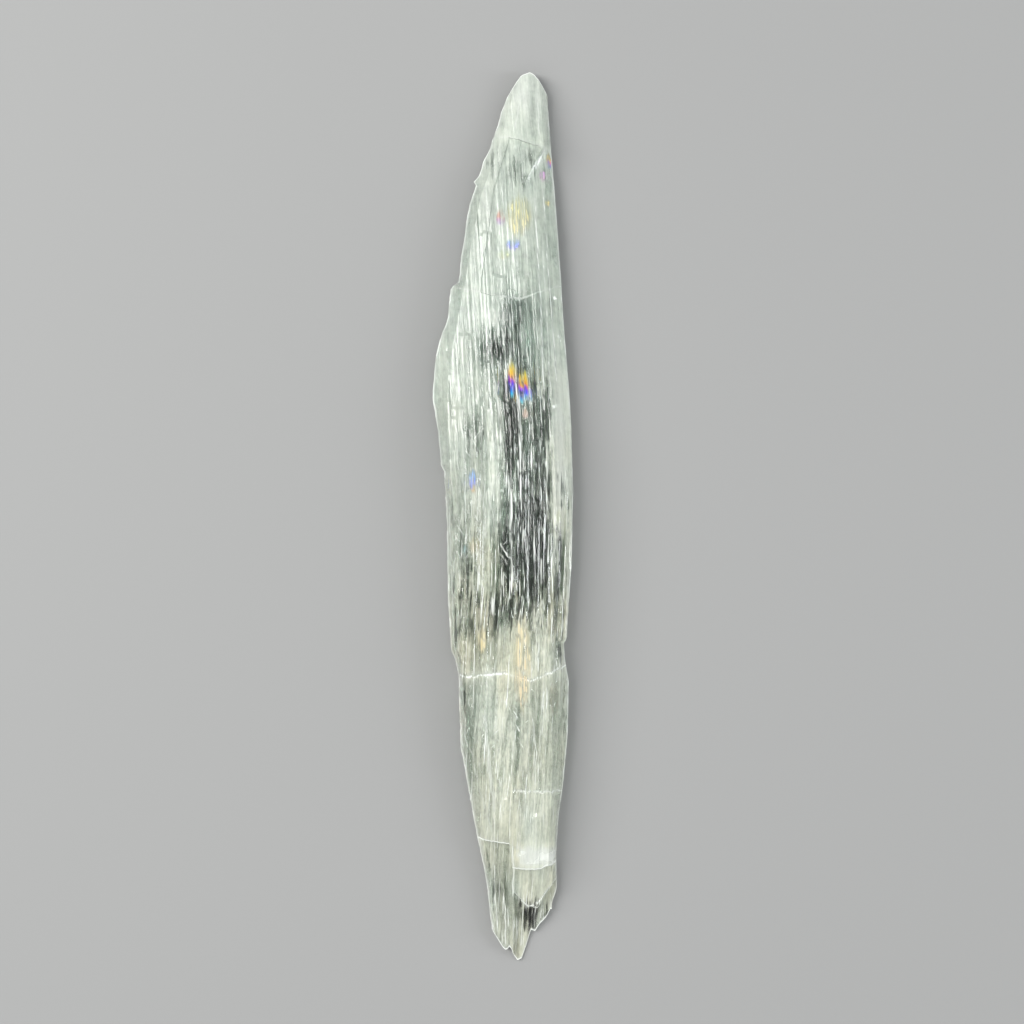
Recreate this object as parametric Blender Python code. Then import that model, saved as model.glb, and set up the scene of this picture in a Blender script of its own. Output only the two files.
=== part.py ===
"""A hydroboracite crystal: one long blade of parallel laths grown together.

The crystal lies on its flat back, with its broad front face up, its rounded tip
towards +Y and its broken, stepped end towards -Y. The tables are drawn in
millimetres and the finished mesh is in metres, centred over the origin.
"""

import math

import bpy

MM = 0.001

# Driving dimensions of the whole crystal, in mm
LENGTH = 92.0
WIDTH = 14.5
THICKNESS = 5.5

# The two side edges, as (y, x) from the tip to the broken end
LEFT_EDGE = (
    (46.0, 0.6), (43.2, 0.4), (41.5, -0.4), (40.9, -0.4), (38.9, -1.2), (38.3, -1.25),
    (37.6, -1.8), (35.5, -2.5), (34.9, -2.5), (33.0, -3.3), (31.3, -3.7), (28.6, -4.0),
    (25.2, -4.7), (24.0, -4.8), (23.5, -5.45), (20.5, -5.7), (18.3, -6.55), (16.5, -6.95),
    (13.1, -7.25), (12.1, -7.25), (8.8, -6.7), (5.3, -6.4), (4.9, -6.1), (-0.5, -5.8),
    (-8.0, -5.7), (-13.7, -5.35), (-14.7, -4.9), (-16.5, -4.6), (-23.8, -4.4),
    (-25.6, -4.0), (-29.2, -3.4), (-33.3, -2.6), (-37.4, -1.75), (-42.4, -1.2), (-46.0, -1.0),
)
RIGHT_EDGE = (
    (46.0, 4.4), (43.5, 4.6), (40.4, 4.8), (33.0, 5.4), (26.8, 5.85), (18.3, 6.4),
    (13.0, 6.85), (9.4, 7.05), (2.7, 7.25), (-4.5, 7.1), (-10.4, 6.7), (-12.5, 6.6),
    (-12.8, 6.3), (-14.6, 6.4), (-16.9, 6.8), (-22.2, 6.7), (-26.9, 6.3), (-30.9, 5.75),
    (-34.8, 5.5), (-38.3, 5.6), (-40.1, 5.0), (-46.0, 4.6),
)

# Where the front face meets the two sloping side facets
LEFT_SHOULDER = (
    (46.0, 1.1), (43.2, 0.9), (38.3, -0.4), (33.0, -2.3), (28.6, -3.1), (24.0, -3.9),
    (18.0, -5.1), (12.0, -5.7), (5.0, -5.4), (-0.5, -5.0), (-14.7, -4.3), (-23.8, -3.7),
    (-29.2, -2.5), (-37.4, -1.2), (-46.0, -0.5),
)
RIGHT_SHOULDER = (
    (46.0, 3.6), (43.0, 3.9), (38.2, 4.2), (36.0, 3.0), (33.8, 2.1), (28.6, 2.5),
    (17.0, 3.95), (6.9, 5.2), (0.0, 5.4), (-12.7, 5.1), (-29.0, 5.0), (-35.6, 4.7),
    (-46.0, 4.0),
)

# The gap between the blade and the rough lath along its right side
SIDE_GAP = (
    (46.0, 4.0), (43.0, 4.3), (38.2, 4.6), (33.8, 3.8), (17.0, 5.2), (6.9, 6.2), (2.3, 6.45),
    (-6.5, 6.05), (-12.7, 5.8), (-16.9, 6.0), (-29.0, 5.55), (-35.6, 5.15), (-46.0, 4.35),
)
SIDE_GAP_DEPTH = ((9.0, 0.0), (4.0, 0.35), (-3.0, 0.6), (-12.0, 0.45), (-15.0, 0.0))

# Two ridges that run the length of the front face
LEFT_RIDGE = (
    (46.0, 1.7), (43.0, 1.6), (38.0, 0.4), (33.8, -0.9), (24.0, -2.2), (12.0, -2.9),
    (-14.0, -2.6), (-20.4, -1.95), (-28.5, -0.95), (-33.3, -0.6), (-46.0, 0.1),
)
MAIN_RIDGE = (
    (46.0, 2.7), (43.0, 2.6), (36.0, 1.4), (25.0, 0.7), (15.9, 0.9), (9.0, 1.45),
    (1.5, 1.0), (-33.3, 0.95), (-39.0, 1.15), (-46.0, 1.1),
)

# Lengthwise lines from left to right, and the strips between each pair
MAIN_LINES = (
    LEFT_EDGE, LEFT_SHOULDER, LEFT_RIDGE, MAIN_RIDGE, RIGHT_SHOULDER, SIDE_GAP, RIGHT_EDGE,
)
STRIPS = (1, 5, 5, 7, 2, 2)

# Height of each main line above the back, as a share of the height at the ridge
FRONT_SHARE = (0.42, 0.84, 0.95, 1.0, 0.9, 0.68, 0.38)
BACK_SHARE = (0.2, 0.0, 0.0, 0.0, 0.0, 0.0, 0.18)

# Height of the main ridge, as (y, height)
RIDGE_HEIGHT = (
    (46.0, 1.5), (43.0, 2.3), (38.0, 3.2), (30.0, 4.2), (20.0, 5.0), (8.0, 5.5),
    (-5.0, 5.4), (-16.0, 5.0), (-25.0, 4.3), (-33.0, 3.6), (-42.0, 2.5), (-46.0, 1.8),
)

# The rounded tip, the splintered end, and the ledges across the front face, as (x, y)
TIP = (
    (0.4, 43.2), (0.8, 43.9), (1.4, 45.0), (1.9, 45.7), (2.75, 46.0), (3.2, 45.8),
    (3.75, 45.2), (4.15, 44.4), (4.6, 43.5),
)
TIP_LEDGE = ((-0.9, 39.7), (-0.3, 39.2), (1.8, 38.9), (3.3, 38.4), (4.9, 37.8))
COLLAR_LEDGE = ((-5.5, 23.7), (-2.6, 23.2), (-0.3, 22.6), (1.8, 22.4), (3.8, 23.2), (6.1, 23.9))
FIRST_END_LEDGE = (
    (-2.6, -33.0), (0.0, -33.5), (0.7, -33.7), (1.0, -36.1), (3.6, -36.2), (5.5, -35.6),
)
SECOND_END_LEDGE = (
    (-2.0, -38.5), (0.7, -38.6), (1.2, -38.8), (2.5, -40.0), (3.6, -40.4), (4.3, -38.8),
    (5.5, -37.4),
)
BROKEN_END = (
    (-1.15, -42.4), (-0.1, -44.4), (0.3, -44.8), (0.75, -44.2), (1.1, -45.3), (1.65, -46.0),
    (2.05, -45.6), (2.5, -44.1), (2.75, -42.6), (3.25, -42.9), (3.8, -41.9), (4.3, -41.4),
    (4.8, -40.2),
)

# How much of the front is missing between one ledge and the next, in each band of laths
TIP_CAP_LOSS = (0.0, 0.0, 0.0, 0.0, 0.0, 0.0)
CHIPPED_LOSS = (0.1, 0.25, 0.35, 0.4, 0.0, 0.0)
BODY_LOSS = (0.0, 0.0, 0.0, 0.0, 0.0, 0.0)
FIRST_STEP_LOSS = (1.0, 1.1, 1.1, 1.1, 1.1, 1.1)
SECOND_STEP_LOSS = (1.0, 1.1, 1.1, 1.9, 1.9, 1.9)
LEDGE_RUN = 0.12

# Low ridges and grooves along the laths
GROOVE_DEPTH = 0.13
GROOVE_WAVE = 9.0

# The back rises towards the tip, as a chisel
CHISEL_START = 38.0
CHISEL_RISE = 0.6

# Spacing of the cross rows; level rows fill the body between the collar and the broken steps
ROW_GAP = 1.5
CLOSEST_ROWS = 0.28
FIRST_LEVEL_ROW = 22.0
LAST_LEVEL_ROW = -31.4

THINNEST = 0.3


def along(table, at):
    """Read a table of (position, value) pairs at a position, in straight runs."""
    ordered = sorted(table)
    if at <= ordered[0][0]:
        return ordered[0][1]
    for (start, low), (end, high) in zip(ordered, ordered[1:]):
        if at <= end:
            return low + (high - low) * (at - start) / (end - start)
    return ordered[-1][1]


def lines_across():
    """Give each lengthwise line as (main line to its left, share of the way to the next)."""
    lines = []
    for index, count in enumerate(STRIPS):
        for step in range(count):
            lines.append((index, step / count))
    lines.append((len(STRIPS) - 1, 1.0))
    return lines


def between(values, line):
    """Blend a value per main line for one lengthwise line."""
    index, share = line
    return values[index] * (1.0 - share) + values[index + 1] * share


def line_x(line, y):
    """X of a lengthwise line at a place along the crystal."""
    return between([along(table, y) for table in MAIN_LINES], line)


def level_rows():
    """Choose the level rows: at the corners of the side edges, with the gaps filled."""
    corners = {FIRST_LEVEL_ROW, LAST_LEVEL_ROW}
    for y, _ in LEFT_EDGE + RIGHT_EDGE:
        if LAST_LEVEL_ROW + CLOSEST_ROWS < y < FIRST_LEVEL_ROW - CLOSEST_ROWS:
            corners.add(y)
    rows = []
    for y in sorted(corners, reverse=True):
        if not rows:
            rows.append(y)
        elif rows[-1] - y >= CLOSEST_ROWS:
            start = rows[-1]
            steps = math.ceil((start - y) / ROW_GAP)
            rows += [start + (y - start) * step / steps for step in range(1, steps + 1)]
    return rows


def curve_row(curve, lines):
    """The row in which the lengthwise lines meet a curve drawn as (x, y)."""
    plane = sum(y for _, y in curve) / len(curve)
    return [along(curve, line_x(line, plane)) for line in lines]


def rows_between(first, last):
    """First and last with enough rows spread evenly between them."""
    widest = max(abs(a - b) for a, b in zip(first, last))
    steps = math.ceil(widest / ROW_GAP)
    rows = []
    for step in range(steps + 1):
        share = step / steps
        rows.append([a + (b - a) * share for a, b in zip(first, last)])
    return rows


def past_ledge(row):
    """The foot of a ledge, a short run past its edge."""
    return [y - LEDGE_RUN for y in row]


def cross_rows(lines):
    """All rows from the tip to the broken end, each with what is missing from the front."""
    tip = curve_row(TIP, lines)
    tip_ledge = curve_row(TIP_LEDGE, lines)
    collar = curve_row(COLLAR_LEDGE, lines)
    level = [[y] * len(lines) for y in level_rows()]
    first = curve_row(FIRST_END_LEDGE, lines)
    second = curve_row(SECOND_END_LEDGE, lines)
    end = curve_row(BROKEN_END, lines)
    body = rows_between(past_ledge(collar), level[0]) + level[1:-1]
    body += rows_between(level[-1], first)
    parts = (
        (rows_between(tip, tip_ledge), TIP_CAP_LOSS),
        (rows_between(past_ledge(tip_ledge), collar), CHIPPED_LOSS),
        (body, BODY_LOSS),
        (rows_between(past_ledge(first), second), FIRST_STEP_LOSS),
        (rows_between(past_ledge(second), end), SECOND_STEP_LOSS),
    )
    return [(row, loss) for rows, loss in parts for row in rows]


def groove(number, y):
    """Height of the low ridge or groove on a lengthwise line; it swells and fades along it."""
    side = 1.0 if number % 2 else -1.0
    return GROOVE_DEPTH * side * (0.55 + 0.45 * math.sin(y / GROOVE_WAVE + 1.7 * number))


def heights(number, line, y, loss):
    """Front and back heights of the crystal on a lengthwise line."""
    full = along(RIDGE_HEIGHT, y)
    left = full - loss[line[0]]
    front = min(between(FRONT_SHARE, line) * full, left)
    at_edge = number == 0 or line[1] == 1.0
    if line == (MAIN_LINES.index(SIDE_GAP), 0.0):
        front -= along(SIDE_GAP_DEPTH, y)
    elif not at_edge:
        front += groove(number, y) * left / THICKNESS
    lift = CHISEL_RISE * max(0.0, (y - CHISEL_START) / (LENGTH / 2 - CHISEL_START))
    back = between(BACK_SHARE, line) * left + lift
    return max(front, back + THINNEST), back


def crystal_points():
    """The front and back points of the crystal, row by row."""
    lines = lines_across()
    front_rows = []
    back_rows = []
    for row, loss in cross_rows(lines):
        front_row = []
        back_row = []
        for number, (line, y) in enumerate(zip(lines, row)):
            x = line_x(line, y)
            front, back = heights(number, line, y, loss)
            front_row.append((x, y, front))
            back_row.append((x, y, back))
        front_rows.append(front_row)
        back_rows.append(back_row)
    return front_rows, back_rows


def fit_to_size(points):
    """Centre the points over the origin, bring them to the full size, and turn mm into m."""
    fitted = []
    spans = []
    for axis, size in enumerate((WIDTH, LENGTH, THICKNESS)):
        low = min(point[axis] for point in points)
        high = max(point[axis] for point in points)
        middle = low if axis == 2 else (low + high) / 2.0
        spans.append((middle, size / (high - low)))
    for point in points:
        fitted.append(tuple(MM * (value - middle) * scale
                            for value, (middle, scale) in zip(point, spans)))
    return fitted


def crystal_faces(row_count, line_count):
    """Faces of the front, the back, the two side walls and the two ends, all facing out."""
    back_start = row_count * line_count

    def front(row, line):
        return row * line_count + line

    def back(row, line):
        return back_start + front(row, line)

    faces = []
    for row in range(row_count - 1):
        for line in range(line_count - 1):
            faces.append((front(row, line), front(row + 1, line),
                          front(row + 1, line + 1), front(row, line + 1)))
            faces.append((back(row, line), back(row, line + 1),
                          back(row + 1, line + 1), back(row + 1, line)))
        right = line_count - 1
        faces.append((front(row, 0), back(row, 0), back(row + 1, 0), front(row + 1, 0)))
        faces.append((front(row, right), front(row + 1, right),
                      back(row + 1, right), back(row, right)))
    end = row_count - 1
    for line in range(line_count - 1):
        faces.append((front(0, line), front(0, line + 1), back(0, line + 1), back(0, line)))
        faces.append((front(end, line), back(end, line),
                      back(end, line + 1), front(end, line + 1)))
    return faces


def crystal_material():
    """Clear to milky mineral with a faint green tint."""
    material = bpy.data.materials.new("hydroboracite")
    material.use_nodes = True
    shader = material.node_tree.nodes["Principled BSDF"]
    shader.inputs["Base Color"].default_value = (0.80, 0.87, 0.82, 1.0)
    shader.inputs["Roughness"].default_value = 0.12
    shader.inputs["Metallic"].default_value = 0.0
    shader.inputs["IOR"].default_value = 1.53
    shader.inputs["Transmission Weight"].default_value = 1.0
    return material


def make_crystal():
    """The whole crystal, as one closed solid."""
    front_rows, back_rows = crystal_points()
    points = [point for row in front_rows + back_rows for point in row]
    faces = crystal_faces(len(front_rows), len(front_rows[0]))
    mesh = bpy.data.meshes.new("hydroboracite_crystal")
    mesh.from_pydata(fit_to_size(points), [], faces)
    mesh.materials.append(crystal_material())
    mesh.validate()
    mesh.update()
    crystal = bpy.data.objects.new("hydroboracite_crystal", mesh)
    bpy.context.scene.collection.objects.link(crystal)
    return crystal


def main():
    for old in list(bpy.data.objects):
        bpy.data.objects.remove(old, do_unlink=True)
    make_crystal()


main()
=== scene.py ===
import math
from functools import partial, reduce

import bpy
import numpy as np
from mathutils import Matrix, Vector


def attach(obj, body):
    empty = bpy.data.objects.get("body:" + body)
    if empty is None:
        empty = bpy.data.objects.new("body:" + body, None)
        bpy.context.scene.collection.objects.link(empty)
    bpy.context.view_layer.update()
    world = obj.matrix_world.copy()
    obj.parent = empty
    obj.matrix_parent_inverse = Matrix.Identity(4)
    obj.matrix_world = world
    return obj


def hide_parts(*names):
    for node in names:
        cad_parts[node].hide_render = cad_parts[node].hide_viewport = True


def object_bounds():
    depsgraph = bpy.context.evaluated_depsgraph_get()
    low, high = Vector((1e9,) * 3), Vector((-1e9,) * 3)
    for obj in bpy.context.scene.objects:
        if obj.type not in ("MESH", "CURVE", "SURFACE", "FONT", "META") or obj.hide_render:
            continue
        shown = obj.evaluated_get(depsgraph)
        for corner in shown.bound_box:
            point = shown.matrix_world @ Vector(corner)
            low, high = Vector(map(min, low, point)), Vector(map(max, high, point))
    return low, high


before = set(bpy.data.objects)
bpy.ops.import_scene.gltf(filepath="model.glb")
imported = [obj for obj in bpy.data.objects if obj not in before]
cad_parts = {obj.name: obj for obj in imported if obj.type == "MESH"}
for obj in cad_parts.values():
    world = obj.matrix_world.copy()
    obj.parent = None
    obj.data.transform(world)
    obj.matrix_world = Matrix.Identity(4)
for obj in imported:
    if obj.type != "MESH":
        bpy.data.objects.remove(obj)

MM = 0.001
CAD_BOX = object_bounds()
NODE = "hydroboracite_crystal"
TIP_Y = CAD_BOX[1][1] / MM
THICKNESS = CAD_BOX[1][2] / MM
AXIS_X = 0
AXIS_Y = 1

# The photo's frame: its pixels per mm, the pixel at the middle of the crystal's box, and the
# height of the crystal's outline in mm
PHOTO_SIDE = 1024
PIXELS_PER_MM = 9.693
BOX_MIDDLE_PIXEL = (502.95, 517.3)
LENS = 100.0
SENSOR = 36.0
CAMERA_RANGE = (0.01, 10.0)
OUTLINE_HEIGHT = 2.2

# Where the front face meets the two sloping side facets, as (y, x) in mm
LEFT_SHOULDER = (
    (46.0, 1.1), (43.2, 0.9), (38.3, -0.4), (33.0, -2.3), (28.6, -3.1), (24.0, -3.9), (18.0, -5.1),
    (12.0, -5.7), (5.0, -5.4), (-0.5, -5.0), (-14.7, -4.3), (-23.8, -3.7), (-29.2, -2.5),
    (-37.4, -1.2), (-46.0, -0.5),
)
RIGHT_SHOULDER = (
    (46.0, 3.6), (43.0, 3.9), (38.2, 4.2), (36.0, 3.0), (33.8, 2.1), (28.6, 2.5), (17.0, 3.95),
    (6.9, 5.2), (0.0, 5.4), (-12.7, 5.1), (-29.0, 5.0), (-35.6, 4.7), (-46.0, 4.0),
)

# The groove by the right edge, and its depth in mm along y
SIDE_GAP = (
    (46.0, 4.0), (43.0, 4.3), (38.2, 4.6), (33.8, 3.8), (17.0, 5.2), (6.9, 6.2), (2.3, 6.45),
    (-6.5, 6.05), (-12.7, 5.8), (-16.9, 6.0), (-29.0, 5.55), (-35.6, 5.15), (-46.0, 4.35),
)
SIDE_GAP_DEPTH = ((9.0, 0.0), (4.0, 0.35), (-3.0, 0.6), (-12.0, 0.45), (-15.0, 0.0))

# Two low ridges of the front, as (y, x) in mm
LEFT_RIDGE = (
    (46.0, 1.7), (43.0, 1.6), (38.0, 0.4), (33.8, -0.9), (24.0, -2.2), (12.0, -2.9), (-14.0, -2.6),
    (-20.4, -1.95), (-28.5, -0.95), (-33.3, -0.6), (-46.0, 0.1),
)
MAIN_RIDGE = (
    (46.0, 2.7), (43.0, 2.6), (36.0, 1.4), (25.0, 0.7), (15.9, 0.9), (9.0, 1.45), (1.5, 1.0),
    (-33.3, 0.95), (-39.0, 1.15), (-46.0, 1.1),
)

# The lines between the two side edges, and which of all the lines is the side groove
INNER_LINES = (LEFT_SHOULDER, LEFT_RIDGE, MAIN_RIDGE, RIGHT_SHOULDER, SIDE_GAP)
SIDE_GAP_LINE = 5
SIDE_GAP_COLUMNS = 1.6

# Share of the ridge's height at each line from left to right, and that height, as (y, mm)
FRONT_SHARE = (0.42, 0.84, 0.95, 1.0, 0.9, 0.68, 0.38)
BACK_SHARE = (0.2, 0.0, 0.0, 0.0, 0.0, 0.0, 0.18)
RIDGE_HEIGHT = (
    (46.0, 1.5), (43.0, 2.3), (38.0, 3.2), (30.0, 4.2), (20.0, 5.0), (8.0, 5.5), (-5.0, 5.4),
    (-16.0, 5.0), (-25.0, 4.3), (-33.0, 3.6), (-42.0, 2.5), (-46.0, 1.8),
)

# The smooth line that the fibres run along, near the right edge, as (y, x) in mm
FIBRE_LINE = (
    (46.0, 3.9), (38.0, 4.5), (30.0, 5.0), (17.0, 5.75), (8.0, 6.3), (1.0, 6.45), (-8.0, 6.3),
    (-18.0, 5.9), (-46.0, 4.6),
)

# Ledges across the front, as (x, y) in mm
TIP_LEDGE = ((-0.9, 39.7), (-0.3, 39.2), (1.8, 38.9), (3.3, 38.4), (4.9, 37.8))
COLLAR_LEDGE = ((-5.5, 23.7), (-2.6, 23.2), (-0.3, 22.6), (1.8, 22.4), (3.8, 23.2), (6.1, 23.9))
FIRST_END_LEDGE = (
    (-2.6, -33.0), (0.0, -33.5), (0.7, -33.7), (1.0, -36.1), (3.6, -36.2), (5.5, -35.6),
)
SECOND_END_LEDGE = (
    (-2.0, -38.5), (0.7, -38.6), (1.2, -38.8), (2.5, -40.0), (3.6, -40.4), (4.3, -38.8),
    (5.5, -37.4),
)

# Height in mm that is missing past a ledge, in each band between two lines
WHOLE_LOSS = (0.0, 0.0, 0.0, 0.0, 0.0, 0.0)
CHIPPED_LOSS = (0.1, 0.25, 0.35, 0.4, 0.0, 0.0)
FIRST_STEP_LOSS = (1.0, 1.1, 1.1, 1.1, 1.1, 1.1)
SECOND_STEP_LOSS = (1.0, 1.1, 1.1, 1.9, 1.9, 1.9)

# How far a ledge runs, the rise of the back to the tip, and the least thickness
LEDGE_RUN = 0.06
CHISEL_START = 38.0
CHISEL_RISE = 0.6
THINNEST = 0.25

# How high the sharp lengthwise ridges stand, as (y, share)
RIDGE_SHARE = (
    (46.0, 0.8), (12.0, 1.0), (3.0, 0.9), (-1.0, 0.3), (-8.0, 0.3), (-12.0, 0.9), (-46.0, 1.0),
)

# Relief in mm of the laths and ridges, as (seed, height, width, length)
FRONT_LATHS = ((11, 0.14, 1.3, 34.0), (21, 0.09, 0.55, 17.0), (31, 0.04, 0.27, 9.0))
FRONT_RIDGES = (41, 0.1, 0.45, 13.0)
FRONT_GRAIN = ((51, 0.02, 0.2, 1.4),)
FRONT_LIMITS = (-0.4, 0.1)
BACK_RISE = 0.03
BACK_LATHS = (61, 0.05, 0.8, 23.0)
BACK_RIDGES = (71, 0.06, 0.5, 14.0)
CORE_RIDGES = (81, 0.3, 0.55, 9.0)
BACK_GRAIN = ((91, 0.02, 0.2, 1.5),)
BACK_LIMITS = (0.0, 0.45)

# The clear middle, as (place, reach) in mm, and how sharply it ends
CORE_ACROSS = (2.0, 4.5)
CORE_ALONG = (4.0, 26.0)
CORE_GAIN = 1.6

# How laths and ridges wander, as shares of their width
LATH_WANDER = 0.3
LATH_WANDER_LENGTH = 31.0
RIDGE_WANDER = (0.35, 2.0, 24.0)
RIDGE_SPREAD = 1.7

# How long a lath is, as a share of its layer's length, and where a ridge peaks across itself
LATH_SHORTEST = 0.6
LATH_LONGER = 0.8
RIDGE_PEAK = 0.25
RIDGE_PEAK_RANGE = 0.5

# Columns by the side edges with less relief, and the least share of it where it is thin
PLAIN_COLUMNS = 3.0
LEAST_RELIEF = 0.15

# The nub and the corner of the plate on the left edge, as (y, how far out) in mm
LEFT_NICKS = (
    (35.1, 0.0), (34.85, 0.4), (34.6, 0.35), (34.4, 0.0), (26.9, 0.0), (24.1, -0.38), (23.85, 0.08),
    (22.8, 0.0),
)

# Where the side edges stop following the outline and run on to the two ends
TIP_SHOULDERS = (43.1, 43.4)
END_SHOULDERS = (-42.3, -40.0)

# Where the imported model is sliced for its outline, as (first, past the last, step) in mm
SIDE_SLICES = (END_SHOULDERS[0], TIP_SHOULDERS[1] + 0.05, 0.1)
END_SLICES = (-1.15, 4.95, 0.05)
SHORTEST_CUT = 1e-9

# Small teeth of the side edges and of breaks, as (seed, height, pitch) in mm
LEFT_TEETH = ((501, 0.06, 0.9), (508, 0.04, 0.42))
RIGHT_TEETH = ((502, 0.03, 0.9), (509, 0.02, 0.42))
BREAK_TEETH = ((401, 0.1, 0.55), (402, 0.06, 0.2))

# Fixed numbers of the noise, and its place where it changes along one line only
HASH_SEED = 0.7548776662
HASH_FACTORS = (12.9898, 78.233)
HASH_SPREAD = 43758.5453
ONE_LINE = 0.5

# Milky clouds and clear pools, as patches: (x, y, half width, half length, amount) in mm
MILK_EVERYWHERE = 0.64
CLOUDS = (
    (1.5, 43.0, 4.0, 4.5, 0.3), (3.1, 42.5, 0.5, 3.5, -0.25), (2.0, 36.4, 3.0, 2.2, -0.08),
    (-1.8, 35.5, 1.4, 6.0, 0.06), (-3.0, 28.0, 1.8, 7.0, 0.02), (0.8, 30.0, 2.4, 3.5, 0.08),
    (3.4, 26.0, 1.5, 9.0, 0.05), (-0.5, 23.4, 7.5, 0.9, 0.08), (1.3, 21.0, 1.5, 1.6, -0.55),
    (-1.0, 20.5, 1.7, 1.0, 0.3), (-5.6, 14.0, 2.4, 10.0, 0.06), (-0.4, 17.3, 2.2, 2.2, -0.36),
    (-2.6, 8.5, 1.2, 3.6, -0.12), (-1.0, 5.0, 0.7, 6.0, 0.25), (2.2, 9.0, 2.4, 11.0, -0.52),
    (2.4, -3.5, 2.7, 6.5, -0.58), (5.9, 6.5, 1.1, 9.5, 0.75), (-4.3, -4.0, 2.0, 12.0, -0.1),
    (-1.6, -7.0, 1.6, 3.5, 0.1), (0.5, -9.5, 1.8, 1.8, -0.3), (3.0, -13.5, 3.5, 3.0, 0.08),
    (0.6, -22.5, 5.5, 6.5, -0.06), (-3.7, -23.5, 0.5, 6.5, -0.45), (1.2, -30.8, 4.5, 3.2, 0.15),
    (3.5, -34.9, 2.0, 1.1, 1.2), (0.5, -16.2, 8.0, 0.6, 0.2), (0.2, -38.5, 1.2, 5.0, -0.34),
    (2.8, -38.2, 1.8, 1.6, 0.12), (3.6, -42.0, 1.6, 1.6, -0.3),
)
PATCH_FALL = 0.9

# Finer changes in the marks, as (seed, amount, width, length) in mm
MILK_NOISE = ((201, 0.08, 1.1, 4.1), (202, 0.06, 0.5, 2.3))
PAINTED_SHADE_NOISE = ((208, 0.35, 0.7, 2.6), (209, 0.2, 0.3, 1.1))
FROST_NOISE = ((211, 0.5, 0.4, 1.6),)
WARM_NOISE = ((207, 0.5, 1.3, 3.5),)
FIBRE_WAVER = ((204, 0.14, 1.6, 6.0), (205, 0.05, 0.6, 2.2))
WIDTH_WAVER = ((403, 0.5, 0.8),)

# Where the white and dark streaks stand out most, as patches
STREAKS_EVERYWHERE = 0.3
STREAKED = (
    (2.4, 6.0, 2.7, 14.0, 0.85), (2.2, -5.0, 3.2, 8.0, 0.85), (-0.4, 17.0, 2.4, 3.5, 0.6),
    (2.0, 36.2, 3.0, 3.0, 0.2), (-5.6, 14.0, 2.2, 11.0, -0.12), (5.9, 6.5, 1.0, 9.0, -0.3),
    (3.6, 26.0, 1.3, 8.0, -0.12), (1.2, -42.0, 4.0, 5.0, 0.5), (4.5, -10.0, 2.0, 6.0, 0.35),
    (3.1, -4.6, 1.3, 2.8, -0.9), (0.8, -24.0, 6.0, 9.0, 0.7), (-3.5, -6.0, 2.5, 6.0, 0.45),
    (-0.5, 23.4, 7.5, 0.9, -0.3), (2.2, 38.3, 3.0, 0.7, -0.2), (-2.5, 28.0, 3.0, 5.0, -0.12),
)

# Painted shade: the dark line inside the left and the right edge, as (how far in, half width,
# amount) in mm, and how much of it shows, as (y, share)
EDGE_LINES = ((0.62, 0.2, 1.0), (0.5, 0.16, 1.3))
EDGE_LINE_SHARE = 0.4
EDGE_LINE_BREAKS = (210, 0.6, 0.8, 2.7)
EDGE_SHADE = ((46.0, 0.3), (25.0, 0.4), (5.0, 0.25), (2.0, 1.0), (-14.0, 1.0), (-46.0, 0.5))

# The chalky white place by the broken end, as (least x, most x, least y, most y) in mm
CHALK = (1.45, 5.6, -36.05, -33.9)
CHALK_FADE = 0.3
CHALK_WHITE = 0.72
CHALK_EDGE = ((405, 0.25, 0.7, 0.4),)
CHALK_NOISE = ((406, 0.14, 0.5, 0.5),)

# Frosted white places, as patches
FROSTED = (
    (5.9, 7.0, 0.9, 8.5, 0.38), (-1.0, 20.5, 1.7, 0.9, 0.35), (2.2, 43.3, 1.8, 2.4, 0.42),
    (-4.6, 12.0, 1.4, 7.0, 0.12), (-0.8, 30.5, 2.4, 5.5, 0.2), (3.4, 26.0, 1.0, 7.0, 0.08),
    (1.4, -29.5, 3.6, 2.6, 0.17), (1.5, -22.0, 3.6, 5.0, 0.16),
)

# Smooth veils along the ledges, as (curve, rise above it, half width, milk, streaks lost)
VEILS = ((TIP_LEDGE, 0.1, 0.55, 0.16, 0.7), (COLLAR_LEDGE, 0.9, 1.5, -0.02, 0.9))

# Where short strokes cross the fibres at a slant, as patches, and their (turn, seed)
FEATHERED = (
    (-3.2, 10.0, 2.4, 5.0, 0.8), (-3.4, -3.0, 2.2, 7.0, 0.8), (0.2, -4.2, 1.0, 3.0, 0.9),
    (-1.5, 29.0, 2.5, 4.0, 0.5), (4.2, -8.0, 1.5, 4.0, 0.5), (0.5, -10.5, 2.4, 2.0, 0.2),
    (1.0, -22.0, 4.0, 6.0, 0.85), (2.0, 20.0, 2.0, 3.0, 0.3),
)
FEATHERS = ((0.55, 54.95), (-0.75, 43.25))

# Share of the warm tint along the crystal, as (y, share)
WARM_SHARE = (
    (46.0, 0.1), (20.0, 0.12), (0.0, 0.35), (-8.0, 0.8), (-15.0, 0.7), (-19.0, 0.5), (-46.0, 0.55),
)
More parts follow.
